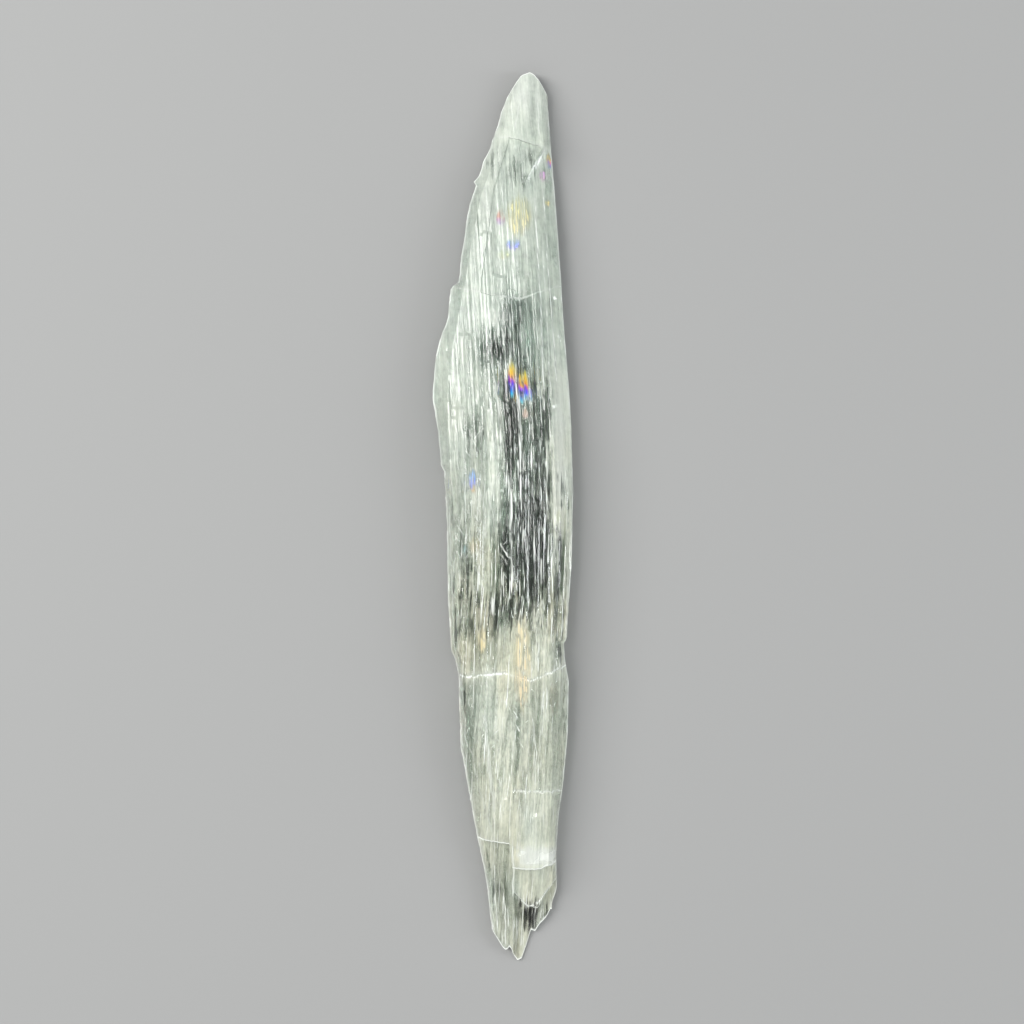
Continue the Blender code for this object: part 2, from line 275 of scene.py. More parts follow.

# Painted shade: where the clear middle is painted dark for the dark surroundings seen through it,
# as patches
PAINTED_SHADE_PLACES = (
    (1.3, 20.9, 1.2, 1.6, 0.42), (0.0, 17.4, 2.3, 2.0, 0.5), (0.8, 8.6, 1.0, 4.5, 0.75),
    (3.4, 4.0, 1.6, 9.0, 0.42), (2.0, 0.5, 2.4, 4.0, 0.45), (3.1, -4.6, 1.5, 3.2, 1.1),
    (0.4, -4.2, 0.7, 3.4, 0.95), (4.6, 10.5, 0.4, 4.5, 0.6), (0.6, -9.2, 2.2, 1.6, 0.36),
    (6.1, 3.2, 0.35, 2.0, 0.55), (6.0, -4.6, 0.35, 2.8, 0.62), (5.5, -10.0, 0.4, 3.0, 0.42),
    (-2.8, 8.3, 1.0, 3.2, 0.36), (2.0, 36.0, 2.6, 2.2, 0.3), (2.9, -41.3, 1.3, 1.8, 0.8),
    (-0.3, -39.0, 1.0, 4.0, 0.22), (3.6, -11.0, 2.4, 2.6, 0.22), (4.8, 24.5, 0.3, 5.0, 0.3),
    (1.6, 13.4, 1.7, 2.2, 0.42), (-3.4, -3.5, 1.6, 4.5, 0.3), (-2.5, -11.0, 2.6, 3.0, 0.33),
    (-4.2, -8.5, 1.2, 3.0, 0.22), (-1.8, 37.0, 1.0, 3.0, 0.2),
)

# Colours of thin films in the cracks, as (x, y, half width, half length, first hue, last hue,
# saturation, amount); the hue changes downwards, in turns of the colour wheel
FILMS = (
    (0.95, 14.3, 0.42, 1.9, 0.16, -0.48, 1.0, 1.5), (2.05, 13.3, 0.55, 1.6, 0.16, -0.48, 1.0, 1.5),
    (2.75, 12.4, 0.3, 0.8, -0.32, -0.45, 0.8, 0.9), (1.25, 12.3, 0.2, 0.5, 0.13, 0.13, 0.9, 1.0),
    (2.3, 10.6, 0.3, 0.7, 0.07, 0.04, 0.7, 0.6), (1.66, 31.0, 1.2, 1.9, 0.16, 0.15, 0.55, 1.3),
    (-0.25, 30.7, 0.4, 0.8, 0.05, -0.25, 0.9, 1.2), (1.04, 28.0, 0.75, 0.5, 0.6, 0.68, 0.8, 1.2),
    (0.1, 26.9, 0.6, 0.45, 0.2, 0.15, 0.5, 0.9), (4.7, 36.7, 0.28, 0.8, 0.14, -0.4, 1.0, 1.4),
    (4.1, 35.2, 0.35, 0.6, 0.82, 0.86, 0.6, 0.9), (4.55, 32.4, 0.28, 0.35, 0.14, 0.13, 0.8, 1.2),
    (-3.1, 4.0, 0.4, 0.9, 0.6, 0.66, 0.9, 1.3), (-2.9, 2.8, 0.3, 0.35, 0.1, 0.1, 0.9, 1.1),
    (-3.9, -3.3, 0.3, 0.5, 0.52, 0.55, 0.6, 0.5), (-2.9, -2.8, 0.6, 0.9, 0.13, 0.11, 0.7, 0.4),
    (5.75, 0.1, 0.3, 0.7, 0.18, 0.2, 0.6, 0.4), (2.0, -15.0, 0.85, 4.6, 0.14, 0.13, 0.45, 1.3),
    (-2.1, -12.6, 0.5, 1.3, 0.14, 0.14, 0.5, 1.3), (-4.2, -20.5, 0.45, 1.6, 0.12, 0.11, 0.5, 0.3),
    (5.3, -18.4, 0.5, 1.8, 0.1, 0.09, 0.5, 0.35),
)

# How a film's hue runs from first to last, from its upper end at -1 to its lower end at 1
FILM_STEPS = (-0.9, -0.2, 0.0, 0.07, 0.5, 0.9)
FILM_SHARES = (0.0, 0.08, 0.2, 0.66, 0.8, 1.0)

# How a film's parts shift from lath to lath, how its edge fades, and how bright it is
FILM_SEED = 301
FILM_LATH = 0.22
FILM_SHIFT = 0.5
FILM_RAGGED = 0.75
FILM_NOISE = ((302, 0.7, 0.17, 0.55),)
FILM_GAIN = 1.6
FILM_FALL = 1.1
FILM_CUT = 0.15
FILM_MIDDLE_TONE = 0.4
FILM_TONE_RANGE = 0.8
FILM_BRIGHTNESS = 0.8

# Bright threads along the crystal, partly painted highlights along its ridges, as (points, half
# width, amount) in mm
THREADS_AND_GLINTS = (
    (((0.73, 15.9), (1.62, 11.7), (1.86, 7.7), (1.75, 4.7)), 0.11, 1.0),
    (((0.5, 4.3), (0.95, 2.0), (0.75, -1.3)), 0.13, 0.9), (((0.83, -1.3), (0.85, -6.3)), 0.08, 0.7),
    (((3.9, -4.4), (3.95, -6.8)), 0.1, 0.9), (((-0.9, 14.2), (-0.4, 10.5), (-0.2, 7.0)), 0.12, 0.8),
    (((-1.5, 12.5), (-0.8, 9.0), (-0.7, 5.0)), 0.1, 0.6), (((-0.3, -2.7), (0.7, -4.1)), 0.07, 0.9),
    (((-0.3, -3.6), (0.5, -4.9)), 0.07, 0.9), (((-1.6, 1.8), (-0.7, 0.2)), 0.06, 0.7),
    (((-2.9, 7.3), (-1.9, 9.3)), 0.07, 0.7),
    (((4.35, 38.0), (3.6, 36.4), (2.9, 35.0), (1.76, 33.8)), 0.09, 0.7),
    (((3.25, 33.0), (3.6, 27.0), (3.95, 20.0), (4.2, 11.0)), 0.08, 1.0),
    (((4.1, 34.0), (4.85, 23.0), (5.5, 14.0)), 0.08, 1.0),
    (((4.00, 29.0), (4.45, 22.0), (4.8, 13.0)), 0.06, 0.9),
    (((-1.95, -20.3), (-1.5, -25.0), (-0.9, -30.0)), 0.22, 0.6),
    (((-1.75, -20.8), (-1.3, -25.0), (-0.8, -29.0)), 0.06, 0.7),
    (((-4.5, -17.8), (-3.8, -23.0), (-3.1, -24.5), (-2.4, -28.1), (-0.9, -32.9)), 0.1, 0.5),
    (((1.00, -33.6), (1.1, -39.0)), 0.1, 0.8),
    (((3.0, -20.5), (3.4, -24.0), (3.3, -27.5)), 0.09, 0.8),
    (((2.5, -21.5), (2.7, -26.5)), 0.06, 0.6),
    (((-5.6, 2.0), (-5.2, -8.0), (-4.9, -15.0)), 0.09, 0.6),
    (((-2.8, 30.0), (-2.3, 26.0)), 0.12, 0.6), (((-1.9, 34.0), (-1.3, 30.5)), 0.1, 0.6),
    (((1.9, 44.0), (1.2, 40.0)), 0.1, 0.7), (((3.6, 43.0), (3.7, 39.5)), 0.1, 0.7),
    (((-0.95, -36.0), (-0.75, -39.5), (-0.55, -42.8)), 0.06, 0.8),
    (((0.15, -39.3), (0.3, -42.0), (0.2, -44.4)), 0.07, 0.9),
    (((1.15, -41.5), (1.05, -45.2)), 0.07, 0.9), (((2.1, -40.6), (1.95, -43.6)), 0.05, 0.8),
    (((3.35, -40.3), (3.2, -42.6)), 0.06, 0.9), (((4.1, -39.6), (3.9, -41.6)), 0.05, 0.8),
    (((1.35, -39.2), (2.6, -40.3), (3.6, -39.9), (4.85, -38.4)), 0.12, 1.0),
)
THREAD_WANDER = ((404, 0.09, 0.9),)

# White lines on the upper ledges, as (curve, half width, amount), and white edges of the end's
# steps, as (curve, amount, least x), in mm
LEDGE_LINES = ((TIP_LEDGE, 0.1, 0.5), (COLLAR_LEDGE, 0.12, 0.6))
END_STEPS = ((FIRST_END_LEDGE, 0.85, -9.0), (SECOND_END_LEDGE, 0.6, 0.9))
STEP_EDGE = 0.08
STEP_FADE = 0.3

# White of the left and right edge, partly painted highlight, as (reach, amount), of the tip, the
# end and the rim
WHITE_AND_GLINT_EDGES = ((0.26, 1.0), (0.18, 0.9))
WHITE_EDGE_BREAKS = (203, 0.75, 0.25, 0.9)
WHITE_TIP_REACH = 0.15
WHITE_END_REACH = 0.2
WHITE_END = 0.95
WHITE_END_ON_WALL = 0.5
WHITE_WALL = 0.3
WHITE_WALL_NOISE = ((206, 0.3, 1.7, 1 / 3),)

# Cracks straight across, as (x, y) in mm, and how much of each shows, as (x, share)
CROSS_CRACK = (
    (-5.0, -16.2), (-3.3, -16.3), (-2.4, -16.1), (-0.8, -16.0), (0.1, -15.95), (1.8, -16.3),
    (2.8, -16.7), (4.6, -16.0), (7.0, -15.1),
)
CROSS_CRACK_SHOWS = ((-4.4, 1.0), (0.1, 1.0), (0.5, 0.25), (1.4, 0.3), (1.9, 1.0), (6.5, 1.0))
FAINT_CRACK = ((-5.0, -28.3), (1.8, -28.0), (5.9, -28.2))
FAINT_CRACK_SHOWS = ((0.6, 0.0), (1.4, 0.75), (5.9, 0.75))
CRACKS = ((CROSS_CRACK, CROSS_CRACK_SHOWS), (FAINT_CRACK, FAINT_CRACK_SHOWS))
CRACK_DEPTH = 0.1
CRACK_GROOVE = 0.08
CRACK_LINE = 0.16

# What crosses the front from the tip to the broken end, as (curve, run, loss past it)
CROSSINGS = (
    (TIP_LEDGE, LEDGE_RUN, CHIPPED_LOSS), (COLLAR_LEDGE, LEDGE_RUN, WHOLE_LOSS),
    (CROSS_CRACK, 0.0, WHOLE_LOSS), (FAINT_CRACK, 0.0, WHOLE_LOSS),
    (FIRST_END_LEDGE, LEDGE_RUN, FIRST_STEP_LOSS), (SECOND_END_LEDGE, LEDGE_RUN, SECOND_STEP_LOSS),
)

# Resolution of the fine mesh: columns in each band, rows in mm, and steps down the rim
BAND_COLUMNS = (12, 30, 30, 44, 12, 10)
ROW_STEP = 0.34
EDGE_STEPS = (0.07, 0.2)
CURVE_ROUNDS = 8
WALL_STEPS = 4

# Roughness of the rim in mm
WALL_SEED = 100
WALL_ROUGH = 0.05
WALL_CELLS = 2.0
WALL_SHIFT = 3.1
WALL_CELL_LENGTH = 1.1

# The front's side value is 1 and the back's is 0, with the rim in between
ALMOST_ONE = 0.99
HALF_WAY = 0.5

# Marks stored in the mesh by name, and the most of the streaks
STORED_MARKS = ("milk", "streaked", "dark", "feathered", "side", "thread_and_glint", "warm", "rim")
MOST_STREAKED = 1.3

# Noise along the fibres, as (cells per mm across, cells per mm along, detail, seed)
FIBRE_NOISES = {
    "broad": (1.4, 0.07, 2.0, 1.3), "fine": (4.5, 0.2, 3.0, 5.1), "grain": (6.0, 1.6, 3.0, 9.7),
    "hair": (7.5, 0.16, 2.0, 21.3), "gaps": (4.5, 0.16, 2.0, 27.7),
    "spark": (7.0, 0.42, 2.0, 33.1), "mottle": (1.2, 0.8, 3.0, 41.9),
}
LATH_CELLS = (2.6, 0.14, 7.3)
FLAKE_CELLS = (4.0, 0.45, 11.9)
FEATHER_CELLS = (5.0, 0.5, 2.0)
NOISE_ROUGHNESS = 0.65
SEED_SHIFT = (1.0, 1.7, 0.3)
SIDE_APART = 10.0
SIDE_SCALE = 0.4

# Weights of the noises in each kind of mark
STREAK_WEIGHTS = {"broad": 0.25, "fine": 0.35, "grain": 0.25, "lath": 0.2, "flake": 0.15}
MILK_WEIGHTS = {"milk": 1.0, "streaks": 0.8, "mottle": 0.15}
SHADE_WEIGHTS = {"dark": 1.0, "gaps": -0.42, "spark": -0.22, "flake": -0.12, "mottle": -0.16}
WHITE_AND_GLINT_WEIGHTS = {"hair": 0.65, "sparkle": 0.4}
FILM_WEIGHTS = {"gaps": 0.5, "hair": 0.5}
RELIEF_WEIGHTS = {"fine": 0.22, "hair": 0.35, "ridge": -0.4}

# How values turn into others, as (low, high, result at low, result at high)
NOISE_RAMP = (0.25, 0.75, -1.0, 1.0)
CELL_RAMP = (0.0, 1.0, -1.0, 1.0)
INVERSE = (0.0, 1.0, 1.0, 0.0)
MILK_RAMP = (0.1, 1.0, 0.0, 0.95)
MILK_BY_SIDE = (0.0, 1.0, 1.0, 0.74)
SHADE_RAMP = (0.27, 0.66, 0.0, 1.0)
SHADE_BY_DARK = (0.05, 0.3, 0.0, 1.0)
SHADE_BY_SIDE = (0.0, 1.0, 1.0, 0.9)
WHITE_AND_GLINT_RAMP = (0.27, 0.47, 0.0, 1.0)
WHITE_AND_GLINT_BY_STREAKED = (0.0, 1.0, 0.3, 1.0)
WHITE_AND_GLINT_BY_DARK = (0.6, 1.0, 1.0, 0.85)
THREAD_BREAKS = (-0.9, 0.0, 0.35, 1.0)
FEATHER_RAMP = (0.45, 0.85, 0.0, 1.0)
FILM_BREAKS = (-0.5, 0.2, 0.25, 1.0)
ROUGHNESS_RAMP = (0.0, 0.8, 0.02, 0.3)

# Settings of the clear crystal, of the fine relief on it and of its absorption, in m
CLEAR_SETTINGS = {"IOR": 1.53, "Coat Weight": 0.6, "Coat Roughness": 0.04}
RELIEF_SETTINGS = {"Strength": 0.7, "Distance": 0.06 * MM}
ABSORPTION = {"Color": (0.5, 0.7, 0.61, 1.0), "Density": 110.0}

# Colours of the marks
CLEAR_COLOUR = (0.84, 0.97, 0.9, 1.0)
WARM_CLEAR_COLOUR = (0.95, 0.94, 0.76, 1.0)
MILK_COLOUR = (0.81, 0.87, 0.76, 1.0)
WARM_MILK_COLOUR = (0.84, 0.82, 0.6, 1.0)
# Painted shade: the near black of the dark marks
PAINTED_SHADE_COLOUR = (0.012, 0.02, 0.014, 1.0)
# White of the fibres, threads and edges, partly painted glints and highlights
WHITE_AND_GLINT_COLOUR = (0.94, 0.98, 0.94, 1.0)

# The sockets of a colour mix node for the share, the two colours and the result
MIX_INPUTS = (0, 6, 7)
MIX_OUTPUT = 2

# Lights, as (name, place in m, size in m, power in W, colour)
LIGHTS = (
    ("key", (-0.3, 0.1, 0.34), (0.16, 0.4), 1.7, (1.0, 0.985, 0.96)),
    ("rim", (0.44, -0.03, 0.19), (0.06, 0.4), 0.8, (0.96, 0.985, 1.0)),
)

# The sky's colour at heights from 0, the horizon, to 1, overhead
SKY_STOPS = (
    (0.18, (0.01, 0.014, 0.014)), (0.36, (1.0, 1.0, 1.0)), (0.78, (1.0, 1.0, 1.0)),
    (0.92, (0.28, 0.28, 0.28)),
)
SKY_STRENGTH = 0.99

# The floor, in m
FLOOR_HALF = 3.0
FLOOR_DROP = 0.00005
FLOOR_SETTINGS = {"Base Color": (0.34, 0.345, 0.345, 1.0), "Roughness": 0.7}

# How often light may bounce, and how often off plain surfaces
MOST_BOUNCES = 8
DIFFUSE_BOUNCES = 2


def along(table, at):
    """Read a table of (position, value) pairs at an array of positions."""
    ordered = sorted(table)
    return np.interp(at, [p for p, _ in ordered], [v for _, v in ordered])


def fade(away, reach):
    """1 at a place, falling smoothly to nearly 0 at twice its reach."""
    return np.exp(-(away / reach) ** 2)


def bump(at, middle, reach):
    """1 at the middle, falling smoothly to 0 at its reach."""
    away = np.clip(np.abs(at - middle) / reach, 0, 1)
    return (1 - away * away) ** 2


def hashed(seed, *indices):
    """A fixed pseudo-random number from 0 to 1 for each set of whole numbers."""
    total = seed * HASH_SEED
    for factor, index in zip(HASH_FACTORS, indices):
        total = total + index * factor
    return np.modf(np.abs(np.sin(total) * HASH_SPREAD))[0]


def smooth_noise(seed, u, v):
    """Value noise from -1 to 1, with one cell per unit."""
    iu = np.floor(u)
    iv = np.floor(v)
    fu = u - iu
    fv = v - iv
    fu = fu * fu * (3 - 2 * fu)
    fv = fv * fv * (3 - 2 * fv)
    low = hashed(seed, iu, iv) * (1 - fu) + hashed(seed, iu + 1, iv) * fu
    high = hashed(seed, iu, iv + 1) * (1 - fu) + hashed(seed, iu + 1, iv + 1) * fu
    return 2 * (low * (1 - fv) + high * fv) - 1


def layered_noise(layers, x, y):
    """The sum of noises, from layers of (seed, amount, width, length)."""
    return sum(amount * smooth_noise(seed, x / width, y / length)
               for seed, amount, width, length in layers)


def teeth(layers, place):
    """Small teeth along a line, from layers of (seed, height, pitch)."""
    return sum(height * smooth_noise(seed, place / pitch, ONE_LINE)
               for seed, height, pitch in layers)


def varied(settings, y):
    """A value that varies along the crystal, from (seed, middle, amount, length)."""
    seed, middle, amount, length = settings
    return middle + amount * smooth_noise(seed, ONE_LINE, y / length)


def crossing_y(curve, x):
    """Y of a curve across the crystal, with the small teeth of a break."""
    return along(curve, x) + teeth(BREAK_TEETH, x)


def across_mark(x, y, curve, width):
    """1 on a curve across the crystal, falling to 0 away from it."""
    return fade(y - crossing_y(curve, x), width * (1 + teeth(WIDTH_WAVER, x)))


def patches(places, x, y):
    """The sum of soft oval patches at places seen from above."""
    total = np.zeros(np.shape(x))
    for middle_x, middle_y, reach_x, reach_y, amount in places:
        away = ((x - middle_x) / reach_x) ** 2 + ((y - middle_y) / reach_y) ** 2
        total += amount * np.exp(-PATCH_FALL * away)
    return total


def edge_points():
    """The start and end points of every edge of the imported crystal, in mm."""
    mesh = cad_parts[NODE].data
    points = np.empty(len(mesh.vertices) * 3)
    mesh.vertices.foreach_get("co", points)
    points = points.reshape(-1, 3) / MM
    ends = np.empty(len(mesh.edges) * 2, dtype=int)
    mesh.edges.foreach_get("vertices", ends)
    ends = ends.reshape(-1, 2)
    return points[ends[:, 0]], points[ends[:, 1]]


def slice_limits(starts, ends, axis, across, levels):
    """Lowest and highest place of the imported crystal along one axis, at levels of another."""
    limits = []
    for level in levels:
        a = starts[:, axis] - level
        b = ends[:, axis] - level
        cut = (a * b <= 0) & (np.abs(a - b) > SHORTEST_CUT)
        share = a[cut] / (a[cut] - b[cut])
        places = starts[cut, across] + share * (ends[cut, across] - starts[cut, across])
        limits.append((places.min(), places.max()))
    return np.transpose(limits)


class Outline:
    """The crystal's outline seen from above, in mm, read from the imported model."""

    def __init__(self):
        starts, ends = edge_points()
        self.ys = np.arange(*SIDE_SLICES)
        self.lefts, self.rights = slice_limits(starts, ends, AXIS_Y, AXIS_X, self.ys)
        self.xs = np.arange(*END_SLICES)
        self.lowest, self.highest = slice_limits(starts, ends, AXIS_X, AXIS_Y, self.xs)

    def left(self, y):
        """X of the left edge, with its nicks and teeth."""
        y = np.clip(y, END_SHOULDERS[0], TIP_SHOULDERS[0])
        edge = np.interp(y, self.ys, self.lefts) - along(LEFT_NICKS, y)
        return edge + np.abs(teeth(LEFT_TEETH, y))

    def right(self, y):
        """X of the right edge, with its teeth."""
        y = np.clip(y, END_SHOULDERS[1], TIP_SHOULDERS[1])
        return np.interp(y, self.ys, self.rights) - np.abs(teeth(RIGHT_TEETH, y))

    def end_y(self, x):
        """Y of the broken end."""
        return np.interp(x, self.xs, self.lowest)

    def tip_y(self, x):
        """Y of the tip."""
        return np.interp(x, self.xs, self.highest)


class Grid:
    """Columns along the laths and rows across them, over the crystal's outline."""

    def __init__(self, outline):
        self.outline = outline
        columns = [(band, step / count) for band, count in enumerate(BAND_COLUMNS)
                   for step in range(count)]
        columns.append((len(BAND_COLUMNS) - 1, 1.0))
        self.band = np.array([band for band, _ in columns])
        self.share = np.array([share for _, share in columns])
        self.numbers = np.arange(len(columns))
        self.rows, self.loss = self.make_rows()

    def line_values(self, values):
        """Blend one value per main line across the columns."""
        values = np.asarray(values)
        return values[self.band] * (1 - self.share) + values[self.band + 1] * self.share

    def x_at(self, y):
        """X of every column where its Y is given, one Y per column."""
        lines = [self.outline.left(y)]
        lines += [along(table, y) for table in INNER_LINES]
        lines.append(self.outline.right(y))
        lines = np.array(lines)
        return (lines[self.band, self.numbers] * (1 - self.share)
                + lines[self.band + 1, self.numbers] * self.share)

    def curve_row(self, curve):
        """Y of each column where it meets a curve, found by going back and forth."""
        y = np.full(len(self.band), curve(np.ones(len(self.band))).mean())
        for _ in range(CURVE_ROUNDS):
            y = curve(self.x_at(y))
        return y

    def make_rows(self):
        """Rows from the tip to the broken end, with the loss of each band of laths."""
        feet = [self.curve_row(partial(crossing_y, curve)) for curve, _, _ in CROSSINGS]
        tops = [self.curve_row(self.outline.tip_y)]
        tops += [foot - run for foot, (_, run, _) in zip(feet, CROSSINGS)]
        feet.append(self.curve_row(self.outline.end_y))
        losses = [WHOLE_LOSS] + [lost for _, _, lost in CROSSINGS]
        rows = []
        loss = []
        for top, foot, lost in zip(tops, feet, losses):
            for share in self.row_shares(np.abs(top - foot).mean()):
                rows.append(top + (foot - top) * share)
                loss.append(np.asarray(lost)[self.band])
        return np.array(rows), np.array(loss)

    def row_shares(self, length):
        """Places of the rows in a stretch, closer together at its two ends."""
        near = [step / length for step in EDGE_STEPS]
        middle = max(2, math.ceil(length / ROW_STEP))
        inner = np.linspace(near[-1], 1 - near[-1], middle)
        return [0.0, near[0]] + list(inner) + [1 - near[0], 1.0]


def laths(seed, fibre, y, width, length):
    """Flat-topped laths: -1 to 1, constant on each lath, which ends after about its length."""
    bent = fibre / width + LATH_WANDER * smooth_noise(seed, y / LATH_WANDER_LENGTH, ONE_LINE)
    number = np.floor(bent)
    start = hashed(seed + 1, number) * length
    own_length = length * (LATH_SHORTEST + LATH_LONGER * hashed(seed + 2, number))
    part = np.floor((y + start) / own_length)
    return 2 * hashed(seed + 3, number, part) - 1


def ridges(seed, fibre, y, pitch, length):
    """Sharp lengthwise ridges, 0 to 1, which swell and fade along the crystal."""
    bent = fibre / pitch + layered_noise(((seed, *RIDGE_WANDER),), fibre, y)
    number = np.floor(bent)
    inside = bent - number
    peak = RIDGE_PEAK + RIDGE_PEAK_RANGE * hashed(seed + 1, number)
    shape = np.where(inside < peak, inside / peak, (1 - inside) / (1 - peak))
    swell = 0.5 + 0.5 * smooth_noise(seed + 2, number * RIDGE_SPREAD, y / length)
    return shape * swell


def relief_layer(form, layer, fibre, y):
    """Laths or ridges from one layer of (seed, height, width, length)."""
    seed, height, width, length = layer
    return height * form(seed, fibre, y, width, length)


def front_form(grid, left):
    """Height of the front without its relief: the facets, the steps and the side groove."""
    front = np.minimum(grid.line_values(FRONT_SHARE) * along(RIDGE_HEIGHT, grid.rows), left)
    gap = np.argmax((grid.band == SIDE_GAP_LINE) & (grid.share == 0.0))
    return front - fade(grid.numbers - gap, SIDE_GAP_COLUMNS) * along(SIDE_GAP_DEPTH, grid.rows)


def front_relief(fibre, y):
    """Low laths, sharp ridges and grain of the front."""
    relief = sum(relief_layer(laths, layer, fibre, y) for layer in FRONT_LATHS)
    relief -= relief_layer(ridges, FRONT_RIDGES, fibre, y) * along(RIDGE_SHARE, y)
    return np.clip(relief + layered_noise(FRONT_GRAIN, fibre, y), *FRONT_LIMITS)


def crack_grooves(x, y):
    """Depth of the shallow grooves that the cross cracks leave in the front."""
    return sum(CRACK_DEPTH * along(shows, x) * across_mark(x, y, crack, CRACK_GROOVE)
               for crack, shows in CRACKS)


def back_form(grid, left):
    """Height of the back without its relief: flat, with raised sides and a chisel tip."""
    lift = CHISEL_RISE * np.clip((grid.rows - CHISEL_START) / (TIP_Y - CHISEL_START), 0, 1)
    return grid.line_values(BACK_SHARE) * left + lift


def back_relief(x, y, fibre):
    """Low laths and ridges of the back, with taller ridges under the clear middle."""
    core = bump(x, *CORE_ACROSS) * np.clip(CORE_GAIN * bump(y, *CORE_ALONG), 0, 1)
    relief = BACK_RISE + relief_layer(laths, BACK_LATHS, fibre, y)
    relief += relief_layer(ridges, BACK_RIDGES, fibre, y)
    relief += core * relief_layer(ridges, CORE_RIDGES, fibre, y)
    return np.clip(relief + layered_noise(BACK_GRAIN, fibre, y), *BACK_LIMITS)


def make_heights(grid):
    """X, Y and the heights of the front and the back in mm, over the whole grid."""
    y = grid.rows
    x = np.array([grid.x_at(row) for row in y])
    left = along(RIDGE_HEIGHT, y) - grid.loss
    fibre = along(FIBRE_LINE, y) - x
    from_sides = np.minimum(grid.numbers, grid.numbers[::-1])
    amount = np.clip(from_sides / PLAIN_COLUMNS, 0, 1) * np.clip(left / THICKNESS, LEAST_RELIEF, 1)
    front = front_form(grid, left) + front_relief(fibre, y) * amount - crack_grooves(x, y)
    back = back_form(grid, left) + back_relief(x, y, fibre) * amount
    return x, y, np.maximum(front, back + THINNEST), back


def sheet_faces(number):
    """Faces of a sheet of numbered points, against the clock seen from above."""
    corners = (number[:-1, :-1], number[1:, :-1], number[1:, 1:], number[:-1, 1:])
    return np.stack([corner.ravel() for corner in corners], -1)


def rim_numbers(number):
    """Numbers of a sheet's outer points, in order, seen from above against the clock."""
    return np.concatenate([number[0, :0:-1], number[:-1, 0], number[-1, :-1], number[:0:-1, -1]])


def wall_ring(step, top, bottom):
    """A ring of rough points on the way down from the front's rim to the back's."""
    share = step / WALL_STEPS
    ring = top * (1 - share) + bottom * share
    noise_place = ring[:, 0] * WALL_CELLS + step * WALL_SHIFT
    rough = WALL_ROUGH * smooth_noise(WALL_SEED + step, noise_place, ring[:, 1] / WALL_CELL_LENGTH)
    ring[:, 0] -= np.sign(top[:, 0]) * np.abs(rough)
    return ring


def crystal_mesh(outline):
    """Points, faces and side values of the fine mesh of front, back and rim."""
    x, y, front, back = make_heights(Grid(outline))
    number = np.arange(x.size).reshape(x.shape)
    rim = rim_numbers(number)
    points = [np.stack([x, y, height], -1).reshape(-1, 3) for height in (front, back)]
    side = [np.ones(x.size), np.zeros(x.size)]
    rings = [rim]
    for step in range(1, WALL_STEPS):
        rings.append(sum(map(len, points)) + np.arange(len(rim)))
        points.append(wall_ring(step, points[0][rim], points[1][rim]))
        side.append(np.full(len(rim), 1 - step / WALL_STEPS))
    rings.append(rim + x.size)
    faces = [sheet_faces(number), sheet_faces(number)[:, [0, 3, 2, 1]] + x.size]
    for upper, lower in zip(rings, rings[1:]):
        faces.append(np.stack([lower, np.roll(lower, -1), np.roll(upper, -1), upper], -1))
    return np.concatenate(points) * MM, np.concatenate(faces), np.concatenate(side)


def mesh_object(name, points, faces, material):
    """A new mesh object in the scene."""
    mesh = bpy.data.meshes.new(name)
    mesh.from_pydata(points.tolist(), [], faces.tolist())
    mesh.materials.append(material)
    mesh.update()
    piece = bpy.data.objects.new(name, mesh)
    bpy.context.scene.collection.objects.link(piece)
    return piece


class Places:
    """The points of the fine mesh in mm, and where each lies on the crystal."""

    def __init__(self, outline, points, side):
        self.x = points[:, 0]
        self.y = points[:, 1]
        self.side = side
        self.front = side > ALMOST_ONE
        self.wall = (side > 1 - ALMOST_ONE) & (side < ALMOST_ONE)
        self.from_left = self.x - outline.left(self.y)
        self.from_right = outline.right(self.y) - self.x
        self.from_tip = outline.tip_y(self.x) - self.y
        self.from_end = self.y - outline.end_y(self.x)


def milk_marks(at):
    """How milky each place is."""
    milk = MILK_EVERYWHERE + patches(CLOUDS, at.x, at.y) + layered_noise(MILK_NOISE, at.x, at.y)
    for curve, rise, width, more, _ in VEILS:
        milk += more * across_mark(at.x, at.y - rise, curve, width)
    return milk


def streaked_marks(at):
    """How strongly streaks show at each place."""
    streaked = STREAKS_EVERYWHERE + patches(STREAKED, at.x, at.y)
    for curve, rise, width, _, lost in VEILS:
        streaked *= 1 - lost * across_mark(at.x, at.y - rise, curve, width)
    return streaked


def painted_shade_marks(at):
    """Painted shade: how dark each place is painted for the dark surroundings seen through the
    clear crystal, with a broken painted shade line inside each side edge.
    """
    dark = patches(PAINTED_SHADE_PLACES, at.x, at.y) * (1 + layered_noise(PAINTED_SHADE_NOISE, at.x, at.y))
    lines = sum(amount * fade(away - inside, width) for away, (inside, width, amount)
                in zip((at.from_left, at.from_right), EDGE_LINES))
    shown = along(EDGE_SHADE, at.y) * np.clip(varied(EDGE_LINE_BREAKS, at.y), 0, 1)
    return dark + EDGE_LINE_SHARE * lines * shown


def fibre_marks(at):
    """Place across the fibres in mm, with the fibres a little bent."""
    fibre = along(FIBRE_LINE, at.y) - at.x
    return fibre + layered_noise(FIBRE_WAVER, fibre, at.y)


def chalk_marks(at):
    """How much each place lies in the chalky white place, with ragged sides."""
    least_x, most_x, least_y, most_y = CHALK
    sides = (at.x - least_x, most_x - at.x, at.y - least_y, most_y - at.y)
    inside = np.minimum.reduce(sides) + layered_noise(CHALK_EDGE, at.x, at.y)
    white = CHALK_WHITE + layered_noise(CHALK_NOISE, at.x, at.y)
    return np.clip(inside / CHALK_FADE, 0, 1) * white


def end_step_marks(at):
    """The white edges of the two steps at the broken end."""
    marks = np.zeros(len(at.x))
    for curve, amount, least_x in END_STEPS:
        away = np.abs(at.y - crossing_y(curve, at.x)) - LEDGE_RUN
        shown = np.clip((at.x - least_x) / STEP_FADE, 0, 1)
        marks = np.maximum(marks, amount * shown * fade(np.clip(away, 0, 1), STEP_EDGE))
    return marks * at.front


